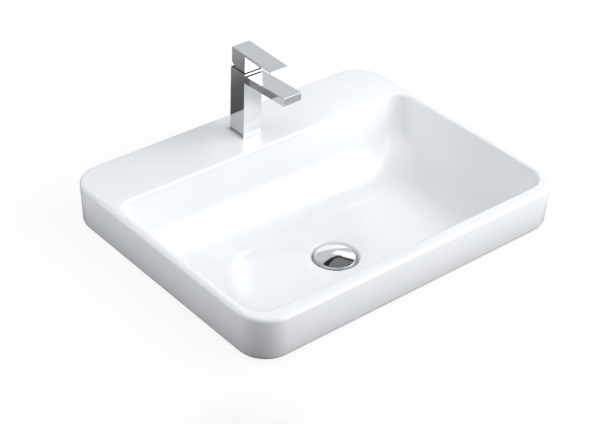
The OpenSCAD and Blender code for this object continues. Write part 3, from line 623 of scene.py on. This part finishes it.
# threaded holes in the column's foot: radius, depth, place beside and behind the axis
INLET_R, INLET_DEPTH, INLET_X, INLET_Y = 0.005, 0.015, 0.0065, -0.0035
STUD_HOLE_R, STUD_HOLE_DEPTH, STUD_HOLE_Y = 0.004, 0.014, 0.0105
PLATE_HOLE_R = 0.0155
PLATE_RECESS_R, PLATE_RECESS_DEPTH = 0.0198, 0.0015


def in_spout(along, up):
    """Point (y, z) in the spout: along its length from the axis, and up from its top plane."""
    c, s = math.cos(SPOUT_RISE), math.sin(SPOUT_RISE)
    top = span("tap_body", 2)[0] + COLUMN_H - SPOUT_DROP
    return TAP_Y - along * c + up * s, top + along * s + up * c


def make_tap_body():
    half = COLUMN_W / 2
    foot = span("tap_body", 2)[0]
    top = foot + COLUMN_H
    over, under = ((half - t * math.sin(SPOUT_RISE)) / math.cos(SPOUT_RISE) for t in (0, SPOUT_T))
    outline = [(TAP_Y + half, foot), (TAP_Y + half, top), (TAP_Y - half, top), in_spout(over, 0),
               in_spout(SPOUT_REACH, 0), in_spout(SPOUT_REACH, -SPOUT_T), in_spout(under, -SPOUT_T),
               (TAP_Y - half, foot)]
    body = bevelled(prism("tap_column", outline, -half, half), EDGE)
    neck = bore(NECK_BORE_R, top - NECK_BORE_DEPTH, top + PAST, (0, TAP_Y))
    outlet = bore(AERATOR_R, -PAST, AERATOR_DEPTH)
    y, z = in_spout(SPOUT_REACH - AERATOR_INSET, -SPOUT_T)
    outlet.data.transform(Matrix.Translation((0, y, z)) @ Matrix.Rotation(-SPOUT_RISE, 4, "X"))
    inlets = [bore(INLET_R, foot - PAST, foot + INLET_DEPTH, (x, TAP_Y + INLET_Y), 32) for x in (-INLET_X, INLET_X)]
    stud = bore(STUD_HOLE_R, foot - PAST, foot + STUD_HOLE_DEPTH, (0, TAP_Y + STUD_HOLE_Y), 32)
    cut(body, [neck, outlet, stud, *inlets])
    place(keep_flat(smooth(body)), "basin_fixed", "chrome", "tap_body")
    # painted shade on the column's top face, inside the gap under the handle
    return paint_gap_shade_on_faces(body, 1, top)


def make_plate():
    low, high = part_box("tap_base_plate")
    plate = bevelled(block("tap_plate", low, high), 0.0005)
    centre = (0, TAP_Y)
    hole = bore(PLATE_HOLE_R, low.z - PAST, high.z + PAST, centre)
    recess = bore(PLATE_RECESS_R, low.z - PAST, low.z + PLATE_RECESS_DEPTH, centre)
    cut(plate, [hole, recess])
    return place(keep_flat(smooth(plate)), "basin_fixed", "chrome", "tap_base_plate")


HANDLE_W = 0.0345
HANDLE_H = 0.0326
HANDLE_FRONT = 0.0172
HANDLE_BACK = 0.0155
HEEL_START = 0.0065
HEEL_RISE = 0.0073
LEVER_REACH = 0.0795
LEVER_T = 0.0034
LEVER_TIP_T = 0.0010
LEVER_FALL = 0.0035
# under the handle: the room for the cartridge's neck and the square socket for its stem
HANDLE_HOLLOW_R, HANDLE_HOLLOW_DEPTH = 0.0102, 0.0063
SOCKET_HALF, SOCKET_DEPTH = 0.0035, 0.0177
# in the handle's back: the grub screw's bore and the room for its plug
SCREW_Z = 0.0128
SCREW_R, SCREW_DEPTH = 0.0025, 0.0155
PLUG_HOLE_R, PLUG_HOLE_DEPTH = 0.0035, 0.003


def make_lever():
    low_z = span("lever_handle", 2)[0]
    half = HANDLE_W / 2
    tip = HANDLE_H - LEVER_FALL
    front = HANDLE_H - LEVER_FALL * (HANDLE_BACK + HANDLE_FRONT) / (HANDLE_BACK + LEVER_REACH)
    outline = [(-HANDLE_FRONT, 0), (HEEL_START, 0), (HANDLE_BACK, HEEL_RISE), (HANDLE_BACK, HANDLE_H),
               (-LEVER_REACH, tip), (-LEVER_REACH, tip - LEVER_TIP_T), (-HANDLE_FRONT, front - LEVER_T)]
    lever = prism("tap_lever", [(TAP_Y + y, low_z + z) for y, z in outline], -half, half)
    bevelled(lever, 0.00045)
    hollow = bore(HANDLE_HOLLOW_R, low_z - PAST, low_z + HANDLE_HOLLOW_DEPTH, (0, TAP_Y))
    socket = block("socket", (-SOCKET_HALF, TAP_Y - SOCKET_HALF, low_z - 0.001),
                   (SOCKET_HALF, TAP_Y + SOCKET_HALF, low_z + SOCKET_DEPTH))
    turn = Matrix.Translation((0, TAP_Y + HANDLE_BACK, low_z + SCREW_Z)) @ Matrix.Rotation(math.pi / 2, 4, "X")
    screw = bore(SCREW_R, -PAST / 2, SCREW_DEPTH, n=32)
    cap = bore(PLUG_HOLE_R, -PAST / 2, PLUG_HOLE_DEPTH, n=32)
    screw.data.transform(turn)
    cap.data.transform(turn)
    cut(lever, [hollow, socket, screw, cap])
    place(keep_flat(smooth(lever)), "lever", "chrome", "lever_handle")
    # painted shade on the handle's underside, inside the gap over the column
    paint_gap_shade_on_faces(lever, -1, low_z)
    low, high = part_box("screw_plug")
    r, t, soft = (high.x - low.x) / 2, high.y - low.y, 0.0004
    plug = turned("tap_lever_plug", [(r, t), (r, soft), (r - soft, 0)], n=48)
    plug.data.transform(turn)
    place(smooth(plug), "lever", "chrome", "screw_plug")


# ---------------------------------------------------------------- waste

# pitch of the waste's G 1 1/4 thread and of the M8 stud
WASTE_PITCH, STUD_PITCH = 0.002309, 0.00125
NUT_SIDES = 6
# a nut's corners are turned off over this share of its height at each end
NUT_CHAMFER = 0.15


def radius(node):
    """Half of a round node's width."""
    return (span(node, 0)[1] - span(node, 0)[0]) / 2


def make_cap():
    """Domed cap with a soft edge and its boss."""
    low_z, high_z = span("plug_cap", 2)
    r = radius("plug_cap")
    dome, edge, boss_h, boss_r = 0.0022, 0.0030, 0.005, 0.0075
    under = low_z + boss_h
    dome_r = (r * r + dome * dome) / (2 * dome)
    soft = 0.0009
    profile = [(boss_r, low_z), (boss_r, under), (r - soft, under)]
    profile += [(r - soft + soft * math.sin(a), under + soft - soft * math.cos(a)) for a in ease(0, math.pi / 2, 5)]
    top = under + edge
    profile += [(r - soft + soft * math.cos(a), top - soft + soft * math.sin(a)) for a in ease(0, math.pi / 2.2, 5)]
    for k in ease(0.96, 0.02, 18):
        x = r * k
        profile.append((x, high_z - dome_r + math.sqrt(dome_r ** 2 - x * x)))
    cap = turned("waste_cap", profile, (0, WASTE_Y), 128)
    stem_r, stem_depth = 0.004, 0.0015
    cut(cap, [bore(stem_r, low_z - PAST, under + stem_depth, (0, WASTE_Y), 48)])
    return place(smooth(cap, 40), "plug", "chrome", "plug_cap")


def thread_rings(r, z0, z1, pitch, depth, centre, n=72, per_turn=6):
    """Rings of an outer thread, run out at both ends."""
    count = max(4, round((z1 - z0) / pitch * per_turn))
    rings = []
    for i in range(count + 1):
        z = z0 + (z1 - z0) * i / count
        fade = min(1, 1.2 * min(z - z0, z1 - z) / pitch)
        ring = []
        for j in range(n):
            a = math.tau * j / n
            phase = (z / pitch - j / n) % 1
            cut_in = depth * fade * abs(2 * phase - 1)
            ring.append((centre[0] + (r - cut_in) * math.cos(a), centre[1] + (r - cut_in) * math.sin(a), z))
        rings.append(ring)
    return rings


def make_waste_tube():
    """Flanged tube with an outlet thread and the three-armed cross inside."""
    centre = (0, WASTE_Y)
    n = 96
    low_z, top_z = span("waste_body", 2)
    flange_r = radius("waste_body")
    flange_z = span("waste_top_seal", 2)[1]
    neck_z = span("waste_back_nut", 2)[0] - 0.0005
    neck_r, thread_r, bore_r, mouth_r, soft = 0.0202, 0.02095, 0.0175, 0.019, 0.0008
    rings = thread_rings(thread_r, low_z, neck_z, WASTE_PITCH, 0.0011, centre, n)
    rings += thread_rings(neck_r, neck_z + 0.0002, flange_z - 0.002, WASTE_PITCH, 0.0005, centre, n)
    rings += [circle(neck_r, flange_z, centre, n), circle(flange_r - soft, flange_z, centre, n)]
    rings += [circle(flange_r - soft + soft * math.sin(a), flange_z + soft - soft * math.cos(a), centre, n)
              for a in ease(0, math.pi / 2, 4)]
    rings += [circle(flange_r - soft + soft * math.cos(a), top_z - soft + soft * math.sin(a), centre, n)
              for a in ease(0, math.pi / 2, 4)]
    rings += [circle(mouth_r, top_z, centre, n), circle(bore_r, flange_z, centre, n), circle(bore_r, low_z, centre, n)]
    tube = loft("tube", rings, closed=True)
    cross_top = span("click_housing", 2)[0] + 0.007
    cross_t, arm_w, hub_r, spigot_r = 0.005, 0.003, 0.008, 0.004
    hub = turned("hub", [(hub_r, cross_top - cross_t), (hub_r, cross_top), (spigot_r, cross_top),
                         (spigot_r, cross_top - cross_t)], centre, 48, closed=True)
    arms = []
    for degrees in (90, 210, 330):
        arm = block("arm", (hub_r - 0.0005, -arm_w / 2, cross_top - cross_t), (bore_r + 0.0005, arm_w / 2, cross_top))
        arm.data.transform(Matrix.Translation((0, WASTE_Y, 0)) @ Matrix.Rotation(math.radians(degrees), 4, "Z"))
        arms.append(arm)
    piece = join("waste_tube", [tube, hub, *arms])
    return place(smooth(piece, 38), "basin_fixed", "chrome", "waste_body")


def make_nut(name, node, bore_r, body, slot, centre):
    """Hexagon nut with turned corners."""
    low_z, high_z = span(node, 2)
    r = radius(node)
    half = math.pi / NUT_SIDES
    flat = r * math.cos(half)
    n = 12 * NUT_SIDES
    soft = NUT_CHAMFER * (high_z - low_z)
    rings = []
    for z, limit in ((low_z, flat), (low_z + soft, r), (high_z - soft, r), (high_z, flat)):
        ring = []
        for i in range(n):
            a = math.tau * i / n
            hexagon = flat / math.cos((a % (2 * half)) - half)
            t = min(hexagon, limit + 0.0002)
            ring.append((centre[0] + t * math.cos(a), centre[1] + t * math.sin(a), z))
        rings.append(ring)
    rings += [circle(bore_r, high_z, centre, n), circle(bore_r, low_z, centre, n)]
    nut = loft(name, rings, closed=True)
    return place(smooth(nut, 25), body, slot, node)


def make_stud():
    low_z, high_z = span("mounting_stud", 2)
    r = radius("mounting_stud")
    centre = (0, sum(span("mounting_stud", 1)) / 2)
    rings = [circle(r - 0.0008, low_z, centre, 24)]
    rings += thread_rings(r, low_z + 0.0006, high_z, STUD_PITCH, 0.0006, centre, 24)
    return place(smooth(loft("tap_stud", rings), 40), "basin_fixed", "brass", "mounting_stud")


def make_spring():
    """Coil spring of round wire with closed ends."""
    low_z, high_z = span("click_spring", 2)
    wire, turns, sides, steps = 0.00055, 6, 10, 240
    coil_r = radius("click_spring") - wire
    rings = []
    for i in range(steps + 1):
        k = i / steps
        a = math.tau * turns * k
        rise = min(max((k - 0.1) / 0.8, 0), 1)
        z = low_z + wire + (high_z - low_z - 2 * wire) * (0.12 * k + 0.88 * rise)
        ring = []
        for j in range(sides):
            b = math.tau * j / sides
            r = coil_r + wire * math.cos(b)
            ring.append((r * math.cos(a), WASTE_Y + r * math.sin(a), z + wire * math.sin(b)))
        rings.append(ring)
    return place(smooth(loft("waste_spring", rings), 60), "basin_fixed", "spring_steel", "click_spring")


WASTE_NUT_BORE_R, TAP_NUT_BORE_R = 0.0203, 0.004
make_basin()
make_tap_body()
make_plate()
make_lever()
make_cap()
make_waste_tube()
make_nut("waste_nut", "waste_back_nut", WASTE_NUT_BORE_R, "basin_fixed", "brass", (0, WASTE_Y))
make_nut("tap_nut", "mounting_nut", TAP_NUT_BORE_R, "basin_fixed", "brass", (0, sum(span("mounting_nut", 1)) / 2))
make_stud()
make_spring()

# ---------------------------------------------------------------- studio

# counter: reach to each side, and its cut-out inside the skirt
COUNTER_REACH = 12.0
CUT_MARGIN = 0.020
CUT_BACK_Y, CUT_SPLIT_Y, CUT_R = -0.008, -0.2, 0.030
# the skirt stands this far above the counter, on its sealant
GROUT = 0.0002
# painted shade on the counter round the skirt's foot, which no camera sees: its width and its tone; it darkens the
# light that the counter sends back onto the skirt's lower part
PAINTED_FOOT_SHADE_WIDTH = 0.12
PAINTED_FOOT_SHADE_TONE = 0.16
# share of plain white in what the camera sees of the counter, and the distances between which it grows to all
WHITE_SHARE, WHITE_START, WHITE_END = 0.86, 0.4, 1.2


def grey(level):
    return (level,) * 3


def foot_distance(n):
    """Distance of a spot on the counter from the skirt's foot."""
    spot = n.parts(n.place)
    outside = n.add("ShaderNodeCombineXYZ")
    for axis, middle, half in (("X", 0.0, HALF_W), ("Y", (FRONT_Y + BACK_Y) / 2, (BACK_Y - FRONT_Y) / 2)):
        size = n.sum("ABSOLUTE", n.sum("SUBTRACT", spot[axis], middle))
        n.join(n.sum("MAXIMUM", n.sum("SUBTRACT", size, half), 0.0), outside.inputs[axis])
    length = n.add("ShaderNodeVectorMath", operation="LENGTH")
    n.join(outside.outputs["Vector"], length.inputs[0])
    return length.outputs["Value"]


def floor_material():
    """Pale counter: almost white to the camera, grey to reflections and to the light that it sends back, with painted
    shade round the skirt's foot.
    """
    n = Nodes("counter")
    n.set(Roughness=0.9)
    seen = n.seen()
    away = foot_distance(n)
    # painted shade: near the skirt's foot, the counter's colour for reflections and bounced light goes down to the
    # dark tone
    near = n.mix(n.change(away, 0.0, PAINTED_FOOT_SHADE_WIDTH, 0.0, 1.0), (*grey(PAINTED_FOOT_SHADE_TONE), 1),
                 n.ramp(n.noise(30, 4), grey(0.72), grey(0.76)))
    n.join(n.mix(seen, near, n.ramp(n.noise(30, 4), grey(0.86), grey(0.88))), n.shader.inputs["Base Color"])
    share = n.sum("MULTIPLY", seen, n.change(away, WHITE_START, WHITE_END, WHITE_SHARE, 1.0))
    white = n.add("ShaderNodeEmission")
    white.inputs["Color"].default_value = WHITE
    white.inputs["Strength"].default_value = 1.0
    n.show(share, n.shader.outputs["BSDF"], white.outputs["Emission"], "Material Output")
    return n.mat


def make_floor():
    """The counter that the skirt stands on, with the cut-out that the bowl hangs through."""
    x = HALF_W - CUT_MARGIN
    inner = rounded(-x, x, FRONT_Y + CUT_MARGIN, CUT_BACK_Y, CUT_R)
    # each point of the cut-out goes with the counter's corner on its side
    outer = [(math.copysign(COUNTER_REACH, px), math.copysign(COUNTER_REACH, py - CUT_SPLIT_Y)) for px, py in inner]
    count = len(inner)
    faces = [(i, (i + 1) % count, (i + 1) % count + count, i + count) for i in range(count)]
    floor = mesh_object("floor", [(px, py, -GROUT) for px, py in inner + outer], faces)
    floor.data.materials.append(floor_material())


def make_world():
    """White behind the object for the camera; for reflections and light, a dome that is brightest half-way up."""
    world = bpy.data.worlds.new("studio")
    bpy.context.scene.world = world
    world.use_nodes = True
    n = Tree(world.node_tree)
    spot = n.add("ShaderNodeTexCoord").outputs["Generated"]
    dome = n.add("ShaderNodeValToRGB")
    steps = dome.color_ramp.elements
    while len(steps) < len(DOME):
        steps.new(1.0)
    for step, (height, level) in zip(steps, DOME):
        step.position = (height + 1) / 2
        step.color = (*[c * level for c in WORLD_TINT], 1)
    n.join(n.change(n.parts(spot)["Z"], -1.0, 1.0, 0.0, 1.0), dome.inputs["Fac"])
    back = n.tree.nodes["Background"]
    n.join(dome.outputs["Color"], back.inputs["Color"])
    toward = n.add("ShaderNodeVectorMath", operation="DOT_PRODUCT")
    toward.inputs[1].default_value = DOME_BRIGHT_SIDE
    n.join(spot, toward.inputs[0])
    n.join(n.change(toward.outputs["Value"], -1.0, 1.0, DOME_DIM, 1.0), back.inputs["Strength"])
    white = n.add("ShaderNodeBackground")
    white.inputs["Color"].default_value = WHITE
    n.show(n.seen(), back.outputs["Background"], white.outputs["Background"], "World Output")


def make_flag(name, corners, tone, fade=None, glow=0.0, unseen=("camera", "diffuse", "transmission", "shadow")):
    """Studio board, hidden from the kinds of rays in unseen.

    A fade (z0, z1, top tone) changes the tone with height, and glow makes it a lit card.
    """
    board = mesh_object(name, corners, [tuple(range(len(corners)))])
    n = Nodes(name)
    if fade:
        level = n.change(n.parts(n.place)["Z"], fade[0], fade[1], 0.0, 1.0)
        colour = n.ramp(level, grey(tone), grey(fade[2]), 0.0, 1.0)
    else:
        colour = n.ramp(n.noise(8, 2), grey(tone * 0.9), grey(tone * 1.1))
    n.join(colour, n.shader.inputs["Base Color"])
    n.set(Roughness=0.9, Emission_Color=WHITE, Emission_Strength=glow)
    board.data.materials.append(n.mat)
    for kind in (*unseen, "volume_scatter"):
        setattr(board, "visible_" + kind, False)


def upright(x0, x1, y, z0, z1):
    return [(x0, y, z0), (x1, y, z0), (x1, y, z1), (x0, y, z1)]


def seen_from_cap(distance, bearings):
    """Points at a distance from the waste's cap, from (bearing right of +Y, height) pairs in degrees."""
    eye = Vector((0, WASTE_Y, CAP_Z))
    spots = []
    for bearing, height in bearings:
        a, e = math.radians(bearing), math.radians(height)
        spots.append(eye + distance * Vector((math.sin(a) * math.cos(e), math.cos(a) * math.cos(e), math.sin(e))))
    return spots


AIM = Vector((0, -0.2, 0.03))
WORLD_TINT = (0.94, 0.97, 1.0)
# (height on the dome from -1 straight down over 0 at the horizon to 1 overhead, brightness)
DOME = ((-1.0, 0.80), (-0.20, 0.70), (-0.04, 0.30), (0.0, 0.30), (0.34, 0.45), (0.43, 0.80), (0.64, 0.81),
        (0.78, 0.52), (1.0, 0.50))
# the dome is brightest on this side, and dims to this share on the other
DOME_BRIGHT_SIDE = (0.64, 0.77, 0.0)
DOME_DIM = 0.70
# the two boards behind the basin: their place, their height, and where they meet and end
BOARD_Y, BOARD_H = 0.065, 0.42
BOARD_LEFT, BOARD_MIDDLE, BOARD_RIGHT = -0.42, -0.127, 0.010
# height of the spot on the cap from which the boards that it mirrors are laid out
CAP_Z = -0.042
# name: place, width, height, power, then what it shines at, its spread in degrees and whether reflections see it
LAMPS = {
    "top": ((-1.1, -0.4, 2.2), 2.4, 2.4, 17),
    "key": ((1.8, -1.8, 1.4), 3.2, 3.2, 90),
    "fill": ((-1.8, 1.5, 0.8), 2.0, 2.0, 14),
    "corner": ((-0.55, -0.95, 0.95), 0.16, 0.16, 0.018, Vector((0.235, -0.11, 0.0)), 9, False),
}


def add_lamp(name, where, width, height, power, aim=AIM, spread=180, glossy=True):
    """Lamp that shines at a place, with a beam of spread degrees."""
    data = bpy.data.lights.new(name, "AREA")
    data.shape = "RECTANGLE"
    data.size = width
    data.size_y = height
    data.energy = power
    data.spread = math.radians(spread)
    lamp = bpy.data.objects.new(name, data)
    lamp.location = where
    lamp.visible_camera = False
    lamp.visible_glossy = glossy
    lamp.rotation_euler = (aim - Vector(where)).to_track_quat("-Z", "Y").to_euler()
    link(lamp)


make_floor()
make_world()
make_flag("board_back", upright(BOARD_MIDDLE, BOARD_RIGHT, BOARD_Y, 0.0, BOARD_H), 0.17, fade=(0.085, 0.150, 0.43))
make_flag("board_left", upright(BOARD_LEFT, BOARD_MIDDLE, BOARD_Y, 0.0, BOARD_H), 0.40)
make_flag("cap_frame", seen_from_cap(0.80, [(32.7, 46.2), (35.0, 44.4), (39.8, 39.6), (44.9, 35.8), (47.1, 35.8),
                                            (48.5, 37.4), (51.4, 37.7), (62, 37.7), (62, 50.4), (31.8, 50.4)]), 0.02)
make_flag("cap_board", seen_from_cap(0.78, [(38, 47.4), (42.5, 41.4), (46, 38.4), (48.5, 39.4), (51.4, 40.3),
                                            (58.5, 40.1), (55.3, 45), (53.1, 50.4), (37.1, 50.4)]), 0.30)
make_flag("cap_card", seen_from_cap(0.82, [(40.5, 34.4), (43.5, 29.0), (61, 28.0), (61, 36.8), (50, 36.8),
                                           (46, 35.0)]), 0.5, glow=1.0)
make_flag("corner_board", [(-0.415, -0.475, 0.0), (-0.322, -0.568, 0.0), (-0.322, -0.568, 0.20),
                           (-0.415, -0.475, 0.20)], 0.10, unseen=("camera", "transmission"))
for lamp_name, lamp in LAMPS.items():
    add_lamp(lamp_name, *lamp)
bpy.context.scene.view_settings.view_transform = "Standard"

# ---------------------------------------------------------------- end

bpy.context.view_layer.update()
